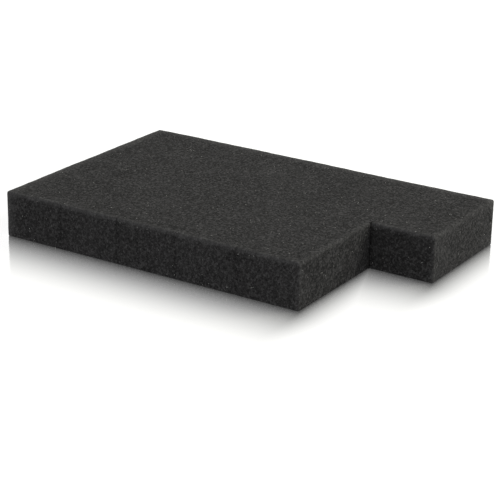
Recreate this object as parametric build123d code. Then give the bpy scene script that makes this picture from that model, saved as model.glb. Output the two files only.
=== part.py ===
from build123d import *
import os

# Foam insert for a drawer or case: a sheet of open-cell foam, pre-cut into blocks that
# are pulled out by hand to make room for a tool. The block at one corner is missing.
# Millimetres. X runs along the slab, Y across it, Z up from its underside.

# slab
slab_length = 432.0
slab_width = 276.0
slab_thickness = 50.0
edge_radius = 2.5  # softness of the foam along its top and upright edges
foot_radius = 1.0  # crisper along the underside

# pre-cut pattern
block_columns = 6
block_rows = 2
missing_block = (6, 1)  # column and row, counted from the -X, -Y corner

# knife cut between two blocks
kerf_width = 0.3
bridge_length = 12.0  # foam left uncut half way along each cut
bridge_height = 8.0  # measured up from the underside

# every cut runs past the top and the underside by this much
cut_overrun = 2.0

block_length = slab_length / block_columns
block_width = slab_width / block_rows


def block_centre(column, row):
    x = (column - (block_columns + 1) / 2) * block_length
    y = (row - (block_rows + 1) / 2) * block_width
    return x, y


def missing_space():
    # one block and the kerf all round it, right through the slab
    plan = Rectangle(block_length + kerf_width, block_width + kerf_width)
    x, y = block_centre(*missing_block)
    return Pos(x, y, -cut_overrun) * extrude(plan, amount=slab_thickness + 2 * cut_overrun)


def slab_blank():
    slab = extrude(Rectangle(slab_length, slab_width), amount=slab_thickness)
    slab -= missing_space()
    outer_edges = slab.edges().filter_by(lambda edge: not edge.is_interior)
    soft_edges = outer_edges - outer_edges.group_by(Axis.Z)[0]
    slab = fillet(soft_edges, edge_radius)
    foot_edges = slab.edges().group_by(Axis.Z)[0]
    return fillet(foot_edges, foot_radius)


def knife_cut(side_length):
    # seen square on: a full-height blade with a gap over the bridge
    low, high = -cut_overrun, slab_thickness + cut_overrun
    half_cut = (side_length + kerf_width) / 2
    half_bridge = bridge_length / 2
    outline = Polyline(
        (-half_cut, low),
        (-half_bridge, low),
        (-half_bridge, bridge_height),
        (half_bridge, bridge_height),
        (half_bridge, low),
        (half_cut, low),
        (half_cut, high),
        (-half_cut, high),
        close=True,
    )
    blade = Plane.XZ * make_face(outline)
    return extrude(blade, amount=kerf_width / 2, both=True)


def knife_cuts():
    # one cut on every side where two blocks meet
    along, across = knife_cut(block_length), Rot(Z=90) * knife_cut(block_width)
    blocks = {(c + 1, r + 1) for c in range(block_columns) for r in range(block_rows)}
    blocks.discard(missing_block)
    cuts = []
    for column, row in sorted(blocks):
        x, y = block_centre(column, row)
        if (column + 1, row) in blocks:
            cuts.append(Pos(x + block_length / 2, y) * across)
        if (column, row + 1) in blocks:
            cuts.append(Pos(x, y + block_width / 2) * along)
    return cuts


def foam_insert():
    return slab_blank() - knife_cuts()


os.makedirs("parts", exist_ok=True)
insert = foam_insert()
insert.label = "foam_insert"
export_step(insert, "parts/foam_insert.step")
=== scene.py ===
from math import copysign, radians

import bmesh
import bpy
from mathutils import Matrix, Vector, noise
from mathutils.kdtree import KDTree


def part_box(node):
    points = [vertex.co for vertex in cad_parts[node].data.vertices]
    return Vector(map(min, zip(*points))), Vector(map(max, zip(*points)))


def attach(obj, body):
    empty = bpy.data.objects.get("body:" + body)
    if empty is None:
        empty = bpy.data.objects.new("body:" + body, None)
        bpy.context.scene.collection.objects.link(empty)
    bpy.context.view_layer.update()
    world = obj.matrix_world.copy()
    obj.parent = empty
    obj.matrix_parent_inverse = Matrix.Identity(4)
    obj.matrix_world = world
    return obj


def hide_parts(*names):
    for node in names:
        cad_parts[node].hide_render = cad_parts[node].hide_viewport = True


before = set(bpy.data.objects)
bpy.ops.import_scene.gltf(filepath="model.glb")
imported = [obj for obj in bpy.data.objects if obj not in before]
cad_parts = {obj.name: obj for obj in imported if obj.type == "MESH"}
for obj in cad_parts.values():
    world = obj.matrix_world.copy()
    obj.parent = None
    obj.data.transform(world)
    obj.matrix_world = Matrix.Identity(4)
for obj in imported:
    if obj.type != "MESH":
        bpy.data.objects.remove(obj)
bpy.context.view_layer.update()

print("frame loaded:", list(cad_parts))

# the pre-cut slab: two rows of six blocks, with one corner empty
slab = {
    "columns": 6,
    "rows": 2,
    "missing": (6, 1),  # column and row of the empty corner
    "kerf": 0.0003,  # knife gap between two blocks
    "kerfDepth": 0.006,  # it gapes this deep from the top
    "kerfFoot": 0.00008,  # and is a hairline below that, where the foam has closed up on itself
    "kerfSway": (20.0, 0.0009),  # scale and width of the knife's wander along each cut
    "kerfStep": 0.012,  # spacing of the points that follow the knife
    "bridgeLength": 0.012,  # uncut foam half way along each cut
    "bridgeHeight": 0.008,
    "edgeRound": 0.0025,  # top and upright edges
    "edgeSegments": 4,
    "footRound": 0.001,  # edges of the underside
    "footSegments": 2,
    "pitch": 0.0015,  # spacing of the finished mesh
    "rimHighlight": (0.008, 1.0),  # reach and strength of the painted highlight, paler foam along every soft edge where light wraps round it
    "rimHighlightFall": 3,  # how steeply that dies away
    "thinRim": (0.013, 2.1),  # the same where light shines through, round the -X end and along the +Y side
    "soak": (0.0045, 2.9),  # light that soaks from the top into the -Y sides
    "lipReach": 0.0028,  # how far from a kerf its lips are toned
    "lipShading": (0.12, -0.8),  # lips on the top catch light, on the sides they are dark: a painted highlight above, painted shade at the sides
    "notchShade": -0.7,  # painted shade: the walls round the empty corner are darker than the outside
    "settleHeight": 0.004,  # below this the foam is pressed flat by the floor
    "sawWave": (18.0, 0.00035),  # scale and depth of the rough skin: the saw's slow wave
    "lumps": (95.0, 0.00018),
    "grain": (380.0, 0.00014),
}

tiny = 0.00001  # slack when places are compared
square = 0.99  # a normal or an edge with this much along one axis lies along it
sharp = radians(30)  # an edge that folds by more than this is rounded
boxLow, boxHigh = (Vector(corner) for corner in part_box("foam_insert"))
boxSize = boxHigh - boxLow
blockCount = (slab["columns"], slab["rows"])
blockSize = [boxSize[axis] / blockCount[axis] for axis in (0, 1)]
notch = Vector((boxHigh.x - blockSize[0], boxLow.y + blockSize[1]))  # inner corner of the empty place


def stepLines(axis):
    # every line that the plan is cut along: lips of the kerfs, ends of the bridges,
    # and steps along the kerfs that cross it
    lines = []
    steps = round(blockSize[axis] / slab["kerfStep"])
    for block in range(blockCount[axis]):
        start = boxLow[axis] + block * blockSize[axis]
        middle = start + blockSize[axis] / 2
        lines += [middle - slab["bridgeLength"] / 2, middle + slab["bridgeLength"] / 2]
        lines += [start + blockSize[axis] * step / steps for step in range(1, steps)]
        if block:
            lines += [start - slab["kerf"] / 2, start + slab["kerf"] / 2]
    return lines


def inBlocks(point, axis):
    # place along an axis, counted in blocks from the low side
    return (point[axis] - boxLow[axis]) / blockSize[axis]


def nearestLine(point, axis):
    # which of the lines between two blocks is nearest, and how far off it is
    along = inBlocks(point, axis)
    number = min(max(round(along), 1), blockCount[axis] - 1)
    return number, (along - number) * blockSize[axis]


def blockAt(point):
    # column and row of the foam block under a point, or None over a gap or past the edge
    place = []
    for axis in (0, 1):
        along = inBlocks(point, axis)
        inKerf = abs(nearestLine(point, axis)[1]) < slab["kerf"] / 2
        if inKerf or not 0 <= along < blockCount[axis]:
            return None
        place.append(int(along) + 1)
    return None if tuple(place) == slab["missing"] else tuple(place)


def isBridge(point):
    # a plan cell in a kerf, half way along a side where two blocks meet
    for axis in (0, 1):
        across = 1 - axis
        gap = Vector((0, 0, 0))
        gap[axis] = slab["kerf"]
        fromMiddle = abs(inBlocks(point, across) % 1 - 0.5) * blockSize[across]
        meet = blockAt(point - gap) and blockAt(point + gap)
        if fromMiddle < slab["bridgeLength"] / 2 and blockAt(point) is None and meet:
            return True
    return False


def isHidden(face):
    # part of a bridge, or the wall of a kerf, with foam across the gap
    centre = face.calc_center_median()
    if not blockAt(centre - face.normal * tiny):
        return True
    acrossGap = blockAt(centre + face.normal * (slab["kerf"] + tiny))
    return abs(face.normal.z) < square and acrossGap is not None


def sortFaces(bm):
    # the skin can be seen; the underside and what is hidden in the kerfs stay plain
    cut = bm.faces.layers.float["cut"]
    faces = {"skin": set(), "under": set(), "hidden": set()}
    for face in bm.faces:
        kind = "under" if face.normal.z < -square else "skin"
        faces["hidden" if face[cut] else kind].add(face)
    return faces


def raiseFaces(bm, faces, rise):
    # extrudes the faces upwards and returns the new top faces
    raised = bmesh.ops.extrude_face_region(bm, geom=faces)["geom"]
    verts = [v for v in raised if isinstance(v, bmesh.types.BMVert)]
    bmesh.ops.translate(bm, vec=(0, 0, rise), verts=verts)
    return [f for f in raised if isinstance(f, bmesh.types.BMFace)]


def buildSlab():
    bm = bmesh.new()
    bm.verts.layers.float.new("paintedShading")
    cut = bm.faces.layers.float.new("cut")
    bmesh.ops.create_grid(bm, x_segments=1, y_segments=1, size=0.5)  # a square of 1 m, then the plan
    middle = (boxLow + boxHigh) / 2
    bmesh.ops.scale(bm, vec=(boxSize.x, boxSize.y, 1), verts=bm.verts)
    bmesh.ops.translate(bm, vec=(middle.x, middle.y, boxLow.z), verts=bm.verts)
    for axis, normal in enumerate((Vector((1, 0, 0)), Vector((0, 1, 0)))):
        for line in stepLines(axis):
            geom = bm.verts[:] + bm.edges[:] + bm.faces[:]
            bmesh.ops.bisect_plane(bm, geom=geom, dist=tiny, plane_co=normal * line, plane_no=normal)
    centres = {face: face.calc_center_median() for face in bm.faces}
    gaps = [face for face, centre in centres.items() if not blockAt(centre) and not isBridge(centre)]
    bmesh.ops.delete(bm, geom=gaps, context="FACES")

    # a lower layer with the bridges, then the blocks alone, to where the kerfs gape and on to the top
    layer = raiseFaces(bm, bm.faces[:], slab["bridgeHeight"])
    blocks = [f for f in layer if blockAt(f.calc_center_median())]
    for rise in (boxSize.z - slab["kerfDepth"] - slab["bridgeHeight"], slab["kerfDepth"]):
        above = raiseFaces(bm, blocks, rise)
        bmesh.ops.delete(bm, geom=blocks, context="FACES")  # left in, they would wall the blocks off inside
        blocks = above
    bmesh.ops.recalc_face_normals(bm, faces=bm.faces)
    for face in bm.faces:
        face[cut] = float(isHidden(face))
    return bm


def fade(distance, reach):
    return max(0.0, 1 - distance / reach)


def shapeKerfs(bm):
    # the knife wanders along each cut, so that no light shines through, and the walls
    # lean together below the lips
    cut = bm.faces.layers.float["cut"]
    swayScale, swayWidth = slab["kerfSway"]
    for face in bm.faces:
        for axis in (0, 1):
            number, offset = nearestLine(face.calc_center_median(), axis)
            onLine = abs(offset) < slab["kerf"] + swayWidth
            if not (face[cut] and onLine and abs(face.normal[axis]) > square):
                continue
            line = boxLow[axis] + number * blockSize[axis]
            for vert in face.verts:
                gap = slab["kerf"] * fade(boxHigh.z - vert.co.z, slab["kerfDepth"])
                gap = max(slab["kerfFoot"], gap)
                sway = swayWidth * noise.noise(Vector((vert.co[1 - axis], line, 0)) * swayScale)
                vert.co[axis] = line + sway - copysign(gap / 2, face.normal[axis])


def roundEdges(bm):
    # top and upright edges first, then the tighter edges round the underside
    for part in ("edge", "foot"):
        faces = sortFaces(bm)
        edges = []
        for edge in bm.edges:
            sides = [f in faces["skin"] for f in edge.link_faces]
            meetsUnder = any(f in faces["under"] for f in edge.link_faces)
            if len(sides) != 2 or edge.calc_face_angle_signed() < sharp:
                continue
            if (part == "edge" and all(sides)) or (part == "foot" and any(sides) and meetsUnder):
                edges.append(edge)
        bmesh.ops.bevel(
            bm, geom=edges, offset=slab[part + "Round"], offset_type="OFFSET", affect="EDGES",
            segments=slab[part + "Segments"], profile=0.5, material=-1, clamp_overlap=False,
        )


def refineSkin(bm):
    # one axis at a time, so that every face stays a quad
    for axis in range(3):
        skin = sortFaces(bm)["skin"]
        groups = {}
        for edge in bm.edges:
            run = edge.verts[1].co - edge.verts[0].co
            if abs(run[axis]) < square * run.length or not any(f in skin for f in edge.link_faces):
                continue
            cuts = round(run.length / slab["pitch"]) - 1
            if cuts > 0:
                groups.setdefault(cuts, []).append(edge)
        for cuts, edges in groups.items():
            bmesh.ops.subdivide_edges(
                bm, edges=edges, cuts=cuts, use_single_edge=False, use_grid_fill=False
            )


def smoothSkin(bm, skin):
    # smooth skin with hard lips at the kerfs
    for face in bm.faces:
        face.smooth = face in skin
    for edge in bm.edges:
        edge.smooth = len({f in skin for f in edge.link_faces}) == 1


def isSoft(face):
    # part of a rounded edge, above the foot
    return max(abs(part) for part in face.normal) < square and face.normal.z > -tiny


def pointTree(verts):
    tree = KDTree(len(verts))
    for index, vert in enumerate(verts):
        tree.insert(vert.co, index)
    tree.balance()
    return tree


def paintShading(bm, faces):
    # painted light and shade on the foam: paler along the edges and where light soaks in, lighter or darker
    # at the kerf lips, darker round the notch, kept on the vertices for the material to read
    paintedShading = bm.verts.layers.float["paintedShading"]
    soft, thin, lips = [], [], []
    nearEdge = slab["edgeRound"] + tiny
    for vert in bm.verts:
        seen = [f for f in vert.link_faces if f in faces["skin"]]
        if any(isSoft(f) for f in seen):
            soft.append(vert)
            topBack = vert.co.y > boxHigh.y - nearEdge and vert.co.z > boxHigh.z - nearEdge
            if vert.co.x < boxLow.x + nearEdge or topBack:
                thin.append(vert)
        if seen and any(f in faces["hidden"] for f in vert.link_faces):
            lips.append(vert)
    softTree, thinTree, lipTree = pointTree(soft), pointTree(thin), pointTree(lips)

    highlightReach, highlightTone = slab["rimHighlight"]
    thinReach, thinTone = slab["thinRim"]
    soakReach, soakTone = slab["soak"]
    onTop, onSide = slab["lipShading"]
    # painted highlights on the soft edges and where light shines through, painted light soaked in from the
    # top, painted light and shade at the lips
    for vert in bm.verts:
        tone = highlightTone * fade(softTree.find(vert.co)[2], highlightReach) ** slab["rimHighlightFall"]
        tone += thinTone * fade(thinTree.find(vert.co)[2], thinReach)
        tone += soakTone * fade(boxHigh.z - vert.co.z, soakReach) * max(0.0, -vert.normal.y)
        lipShading = onTop if vert.co.z > boxHigh.z - tiny else onSide
        tone += lipShading * fade(lipTree.find(vert.co)[2], slab["lipReach"])
        # painted shade on the walls round the empty corner
        if vert.co.x > notch.x - slab["kerf"] and vert.co.y < notch.y + slab["kerf"]:
            tone += slab["notchShade"]
        vert[paintedShading] = tone


def roughenSkin(bm, skin):
    waves = (slab["sawWave"], slab["lumps"], slab["grain"])
    for vert in bm.verts:
        normals = [f.normal for f in vert.link_faces if f in skin]
        if normals:
            outward = sum(normals, Vector()).normalized()
            settle = min(1.0, (vert.co.z - boxLow.z) / slab["settleHeight"])
            lift = sum(depth * noise.noise(vert.co * scale) for scale, depth in waves)
            vert.co += outward * lift * settle


bm = buildSlab()
shapeKerfs(bm)
roundEdges(bm)
refineSkin(bm)
bm.normal_update()
slabFaces = sortFaces(bm)
smoothSkin(bm, slabFaces["skin"])
paintShading(bm, slabFaces)
roughenSkin(bm, slabFaces["skin"])
openEdges = sum(1 for e in bm.edges if len(e.link_faces) != 2)
foamMesh = bpy.data.meshes.new("foamSlab")
bm.to_mesh(foamMesh)
bm.free()
foamSlab = bpy.data.objects.new("foamSlab", foamMesh)
bpy.context.scene.collection.objects.link(foamSlab)
print("foam slab:", len(foamMesh.polygons), "faces,", openEdges, "open edges")


def placeNode(tree, kind, x, y, **settings):
    node = tree.nodes.new(kind)
    node.location = (x, y)
    for name, value in settings.items():
        setattr(node, name, value)
    return node


def feed(tree, sockets, inputs):
    # links an input that is a socket, and sets one that is a value
    for socket, given in zip(sockets, inputs):
        if isinstance(given, bpy.types.NodeSocket):
            tree.links.new(given, socket)
        else:
            socket.default_value = given


def mathNode(tree, operation, x, y, *inputs):
    node = placeNode(tree, "ShaderNodeMath", x, y, operation=operation)
    feed(tree, node.inputs, inputs)
    return node.outputs["Value"]


def vectorNode(tree, operation, x, y, *inputs):
    node = placeNode(tree, "ShaderNodeVectorMath", x, y, operation=operation)
    feed(tree, node.inputs, inputs)
    return node.outputs["Value" if operation == "LENGTH" else "Vector"]


def rampNode(tree, value, x, y, low, high, toLow, toHigh, kind="SMOOTHSTEP"):
    node = placeNode(tree, "ShaderNodeMapRange", x, y, interpolation_type=kind)
    names = ("Value", "From Min", "From Max", "To Min", "To Max")
    feed(tree, [node.inputs[name] for name in names], (value, low, high, toLow, toHigh))
    return node.outputs["Result"]


def noiseNode(tree, vector, x, y, scale, detail):
    node = placeNode(tree, "ShaderNodeTexNoise", x, y)
    feed(tree, [node.inputs[name] for name in ("Vector", "Scale", "Detail")], (vector, scale, detail))
    return node.outputs["Fac"]


# cells of the foam: each has its own shade and a pore of its own width and depth, and a few glint, painted
# highlights in the colour
cells = {
    "poreRadius": (0.55, 0.95),  # in cells
    "poreCore": 0.55,  # flat bottom of a pore, as a share of its radius
    "poreDepth": (0.25, 1.0),
    "shadeFall": 2.0,  # most cells are dark, few pale
    "glintFrom": 0.9990,  # only cells with a higher random value glint
    "glintRadius": (0.45, 0.75),
}


def buildCellGroup():
    group = bpy.data.node_groups.new("openCells", "ShaderNodeTree")
    link = group.links.new
    sockets = group.interface
    sockets.new_socket("Vector", in_out="INPUT", socket_type="NodeSocketVector")
    for name in ("Cells per Metre", "Blend"):
        sockets.new_socket(name, in_out="INPUT", socket_type="NodeSocketFloat")
    for name in ("Pore", "Shade", "Glint"):
        sockets.new_socket(name, in_out="OUTPUT", socket_type="NodeSocketFloat")
    given = placeNode(group, "NodeGroupInput", -900, 0)
    put = placeNode(group, "NodeGroupOutput", 700, 0)
    voronoi = placeNode(
        group, "ShaderNodeTexVoronoi", -650, 0, voronoi_dimensions="3D", feature="SMOOTH_F1"
    )
    link(given.outputs["Vector"], voronoi.inputs["Vector"])
    link(given.outputs["Cells per Metre"], voronoi.inputs["Scale"])
    link(given.outputs["Blend"], voronoi.inputs["Smoothness"])
    distance = voronoi.outputs["Distance"]
    split = placeNode(group, "ShaderNodeSeparateColor", -400, 200)
    link(voronoi.outputs["Color"], split.inputs["Color"])
    red, green, blue = (split.outputs[name] for name in ("Red", "Green", "Blue"))

    radius = rampNode(group, red, -200, 300, 0.0, 1.0, *cells["poreRadius"], kind="LINEAR")
    depth = rampNode(group, green, -200, 0, 0.0, 1.0, *cells["poreDepth"], kind="LINEAR")
    ratio = mathNode(group, "DIVIDE", 0, 200, distance, radius)
    hollow = rampNode(group, ratio, 180, 200, cells["poreCore"], 1.0, 1.0, 0.0)
    link(mathNode(group, "MULTIPLY", 400, 150, hollow, depth), put.inputs["Pore"])
    link(mathNode(group, "POWER", 200, -100, blue, cells["shadeFall"]), put.inputs["Shade"])
    rare = mathNode(group, "GREATER_THAN", -200, -250, blue, cells["glintFrom"])
    spot = rampNode(group, distance, 0, -400, *cells["glintRadius"], 1.0, 0.0)
    link(mathNode(group, "MULTIPLY", 200, -300, rare, spot), put.inputs["Glint"])
    return group


foam = {
    "dark": (0.008, 0.008, 0.008),
    "pale": (0.0798, 0.0784, 0.0796),
    "fineCells": (1400.0, 0.0),  # cells to the metre and how far they blend: pores, seen from close by
    "coarseCells": (560.0, 0.5),  # larger ones that speckle the foam
    "clumps": (260.0, 2.0),  # noise scale and detail: a few cells together
    "drift": (22.0, 2.0),  # slow change of tone over the slab
    "toneStart": 0.38,
    "clumpGain": 0.30,
    "driftGain": 0.25,
    "poreGain": -0.56,
    "shadeGain": 0.64,
    "shadingGain": 0.17,
    "cutShade": -2.0,  # painted shade: the walls of the kerfs are left dark
    "glintColour": (0.55, 0.55, 0.53),
    "roughness": (0.85, 0.97),  # of pale webs and of deep pores
    "roughnessTones": (0.2, 0.8),  # tones between which it changes
    "specular": 0.04,
    "bumpDepth": 0.0005,
    "bumpStrength": 0.4,
    "poreBump": -0.5,
    "shadeBump": 0.6,
}


def buildFoamMaterial():
    material = bpy.data.materials.new("charcoalFoam")
    material.use_nodes = True
    tree = material.node_tree
    tree.nodes.clear()
    link = tree.links.new
    out = placeNode(tree, "ShaderNodeOutputMaterial", 1700, 0)
    surface = placeNode(tree, "ShaderNodeBsdfPrincipled", 1400, 0)
    link(surface.outputs["BSDF"], out.inputs["Surface"])
    place = placeNode(tree, "ShaderNodeTexCoord", -1300, 0).outputs["Object"]
    cellGroup = buildCellGroup()
    layers = {}
    for name, y in (("fineCells", 300), ("coarseCells", 50)):
        node = placeNode(tree, "ShaderNodeGroup", -900, y, node_tree=cellGroup)
        link(place, node.inputs["Vector"])
        feed(tree, [node.inputs["Cells per Metre"], node.inputs["Blend"]], foam[name])
        layers[name] = node.outputs
    fine, coarse = layers["fineCells"], layers["coarseCells"]
    clumps = noiseNode(tree, place, -900, -200, *foam["clumps"])
    drift = noiseNode(tree, place, -900, -450, *foam["drift"])
    # painted light and shade kept on the vertices, and the kerf walls that get painted shade
    paintedShading = placeNode(tree, "ShaderNodeAttribute", -900, -700, attribute_name="paintedShading").outputs["Fac"]
    cut = placeNode(tree, "ShaderNodeAttribute", -900, -900, attribute_name="cut").outputs["Fac"]

    # tone of the foam: 0 in the deepest pores, 1 on pale webs, more along the rims where highlights are
    # painted, less where shade is painted
    tone = mathNode(tree, "SUBTRACT", -600, -200, clumps, 0.5)
    tone = mathNode(tree, "MULTIPLY_ADD", -450, -200, tone, foam["clumpGain"], foam["toneStart"])
    masks = {
        "driftGain": drift,
        "poreGain": fine["Pore"],
        "shadeGain": coarse["Shade"],
        "shadingGain": paintedShading,
        "cutShade": cut,
    }
    for step, (gain, mask) in enumerate(masks.items()):
        tone = mathNode(tree, "MULTIPLY_ADD", -300 + 130 * step, 50, mask, foam[gain], tone)
    tone = mathNode(tree, "MAXIMUM", 350, 50, tone, 0.0)
    body = placeNode(tree, "ShaderNodeMix", 500, 150, data_type="RGBA", clamp_factor=False)
    link(tone, body.inputs["Factor"])
    body.inputs["A"].default_value = (*foam["dark"], 1)
    body.inputs["B"].default_value = (*foam["pale"], 1)
    # painted glints: pale spots mixed into the colour where the foam would sparkle
    sparkle = placeNode(tree, "ShaderNodeMix", 900, 150, data_type="RGBA")
    link(fine["Glint"], sparkle.inputs["Factor"])
    link(body.outputs["Result"], sparkle.inputs["A"])
    sparkle.inputs["B"].default_value = (*foam["glintColour"], 1)
    link(sparkle.outputs["Result"], surface.inputs["Base Color"])

    smooth, rough = foam["roughness"]
    roughness = rampNode(tree, tone, 900, -100, *foam["roughnessTones"], rough, smooth)
    link(roughness, surface.inputs["Roughness"])
    surface.inputs["Specular IOR Level"].default_value = foam["specular"]

    height = mathNode(tree, "MULTIPLY_ADD", 500, -350, fine["Pore"], foam["poreBump"], clumps)
    height = mathNode(tree, "MULTIPLY_ADD", 650, -350, coarse["Shade"], foam["shadeBump"], height)
    bump = placeNode(tree, "ShaderNodeBump", 1000, -350)
    bump.inputs["Strength"].default_value = foam["bumpStrength"]
    bump.inputs["Distance"].default_value = foam["bumpDepth"]
    link(height, bump.inputs["Height"])
    link(bump.outputs["Normal"], surface.inputs["Normal"])
    return material


foamMesh.materials.append(buildFoamMaterial())
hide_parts("foam_insert")
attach(foamSlab, "root")
print("foam material placed")

# white sheet under the slab, with a sheen that dies away from the slab's foot
sheet = {
    "size": 4.0,
    "drop": 0.0002,  # kept just under the foam
    "bounce": 0.52,  # what the sheet gives back to the foam
    "white": 1.75,  # its colour as the camera sees it, past white so that only the shadow shows
    "glow": 0.72,  # share of its own light in that, which thins the shadow
    "sheen": 0.925,
    "sheenBlur": 0.10,
    "sheenReach": 0.115,  # across the long side
    "sheenStretch": (2.6, 1.0, 0.0),  # shorter reach off the ends
    "sheenFall": 1.8,
}


def seenRays(tree, x, y):
    # two masks: rays straight from the camera, and those with the reflected and transmitted ones
    rays = placeNode(tree, "ShaderNodeLightPath", x, y).outputs
    seen = mathNode(tree, "MAXIMUM", x + 200, y, rays["Is Camera Ray"], rays["Is Glossy Ray"])
    seen = mathNode(tree, "MAXIMUM", x + 350, y, seen, rays["Is Transmission Ray"])
    return rays["Is Camera Ray"], seen


def slabDistance(tree, x, y):
    # distance on the floor from the slab's plan, taken as two rectangles that leave the corner empty
    place = placeNode(tree, "ShaderNodeTexCoord", x, y).outputs["Object"]
    narrow = (boxLow, boxHigh - Vector((blockSize[0], 0, 0)))
    shallow = (boxLow + Vector((0, blockSize[1], 0)), boxHigh)
    lengths = []
    for step, (low, high) in enumerate((narrow, shallow)):
        row = y - 250 * step
        offset = vectorNode(tree, "SUBTRACT", x + 200, row, place, (low + high) / 2)
        offset = vectorNode(tree, "ABSOLUTE", x + 350, row, offset)
        offset = vectorNode(tree, "SUBTRACT", x + 500, row, offset, (high - low) / 2)
        offset = vectorNode(tree, "MAXIMUM", x + 650, row, offset, (0, 0, 0))
        offset = vectorNode(tree, "MULTIPLY", x + 800, row, offset, sheet["sheenStretch"])
        lengths.append(vectorNode(tree, "LENGTH", x + 950, row, offset))
    return mathNode(tree, "MINIMUM", x + 1100, y, *lengths)


def mixShaders(tree, x, y, share, first, second):
    node = placeNode(tree, "ShaderNodeMixShader", x, y)
    feed(tree, node.inputs, (share, first.outputs[0], second.outputs[0]))
    return node


def buildSheetMaterial():
    material = bpy.data.materials.new("whiteSheet")
    material.use_nodes = True
    tree = material.node_tree
    tree.nodes.clear()
    link = tree.links.new
    fromCamera, seen = seenRays(tree, -800, 400)
    matte = placeNode(tree, "ShaderNodeBsdfDiffuse", 100, 400)
    link(rampNode(tree, seen, -200, 400, 0.0, 1.0, sheet["bounce"], sheet["white"]), matte.inputs["Color"])
    glow = placeNode(tree, "ShaderNodeEmission", 100, 600)
    link(rampNode(tree, seen, -200, 650, 0.0, 1.0, sheet["bounce"], 1.0), glow.inputs["Strength"])
    paper = mixShaders(tree, 300, 450, sheet["glow"], matte, glow)

    gloss = placeNode(tree, "ShaderNodeBsdfAnisotropic", 100, 200)
    gloss.inputs["Color"].default_value = (1, 1, 1, 1)
    gloss.inputs["Roughness"].default_value = sheet["sheenBlur"]
    away = slabDistance(tree, -1400, 0)
    near = rampNode(tree, away, -150, 0, 0.0, sheet["sheenReach"], 1.0, 0.0, kind="LINEAR")
    share = mathNode(tree, "POWER", 0, 0, near, sheet["sheenFall"])
    share = mathNode(tree, "MULTIPLY", 150, 0, share, sheet["sheen"])
    share = mathNode(tree, "MULTIPLY", 300, 0, share, fromCamera)
    glossy = mixShaders(tree, 450, 300, share, paper, gloss)
    out = placeNode(tree, "ShaderNodeOutputMaterial", 650, 300)
    link(glossy.outputs[0], out.inputs["Surface"])
    return material


def buildSheet():
    bm = bmesh.new()
    bmesh.ops.create_grid(bm, x_segments=1, y_segments=1, size=sheet["size"] / 2)
    bmesh.ops.translate(bm, vec=(0, 0, -sheet["drop"]), verts=bm.verts)
    mesh = bpy.data.meshes.new("whiteSheet")
    bm.to_mesh(mesh)
    bm.free()
    mesh.materials.append(buildSheetMaterial())
    floor = bpy.data.objects.new("whiteSheet", mesh)
    bpy.context.scene.collection.objects.link(floor)


light = {
    "sky": 0.44,  # what the white surroundings give to the foam
    "warmth": (1.0, 1.0, 0.89),  # colour of both lamps
    "softboxes": {
        "keySoftbox": {"place": (2.3, 1.6, 1.75), "size": 1.8, "power": 72.5},
        "fillSoftbox": {"place": (-2.4, 1.0, 1.1), "size": 1.8, "power": 25.0},
    },
}


def buildWorld():
    world = bpy.data.worlds.new("studioWorld")
    bpy.context.scene.world = world
    world.use_nodes = True
    tree = world.node_tree
    tree.nodes.clear()
    seen = seenRays(tree, -800, 0)[1]
    sky = placeNode(tree, "ShaderNodeBackground", 0, 0)
    tree.links.new(rampNode(tree, seen, -200, 0, 0.0, 1.0, light["sky"], 1.0), sky.inputs["Strength"])
    sky.inputs["Color"].default_value = (1, 1, 1, 1)
    out = placeNode(tree, "ShaderNodeOutputWorld", 200, 0)
    tree.links.new(sky.outputs[0], out.inputs["Surface"])


def addSoftbox(name, box):
    lamp = bpy.data.lights.new(name, "AREA")
    lamp.shape = "SQUARE"
    lamp.size = box["size"]
    lamp.energy = box["power"]
    lamp.color = light["warmth"]
    holder = bpy.data.objects.new(name, lamp)
    holder.location = box["place"]
    holder.rotation_euler = (-Vector(box["place"])).to_track_quat("-Z", "Y").to_euler()
    holder.visible_glossy = False
    holder.visible_camera = False
    bpy.context.scene.collection.objects.link(holder)


eye = {
    "place": (0.8995, -1.4213, 0.6314),
    "ahead": (-0.49931, 0.78942, -0.35707),  # direction of view
    "roll": 1.0915,  # degrees, right side up
    "lens": 122.15,
    "sensor": 36.0,
}


def addCamera():
    camera = bpy.data.cameras.new("photoCamera")
    camera.lens = eye["lens"]
    camera.sensor_width = eye["sensor"]
    holder = bpy.data.objects.new("photoCamera", camera)
    aim = Vector(eye["ahead"]).to_track_quat("-Z", "Y").to_matrix()
    turn = aim @ Matrix.Rotation(radians(eye["roll"]), 3, "Z")
    holder.matrix_world = Matrix.Translation(eye["place"]) @ turn.to_4x4()
    bpy.context.scene.collection.objects.link(holder)
    bpy.context.scene.camera = holder


buildSheet()
buildWorld()
for name, box in light["softboxes"].items():
    addSoftbox(name, box)
addCamera()
bpy.context.scene.view_settings.view_transform = "Standard"
print("sheet, light and camera placed")
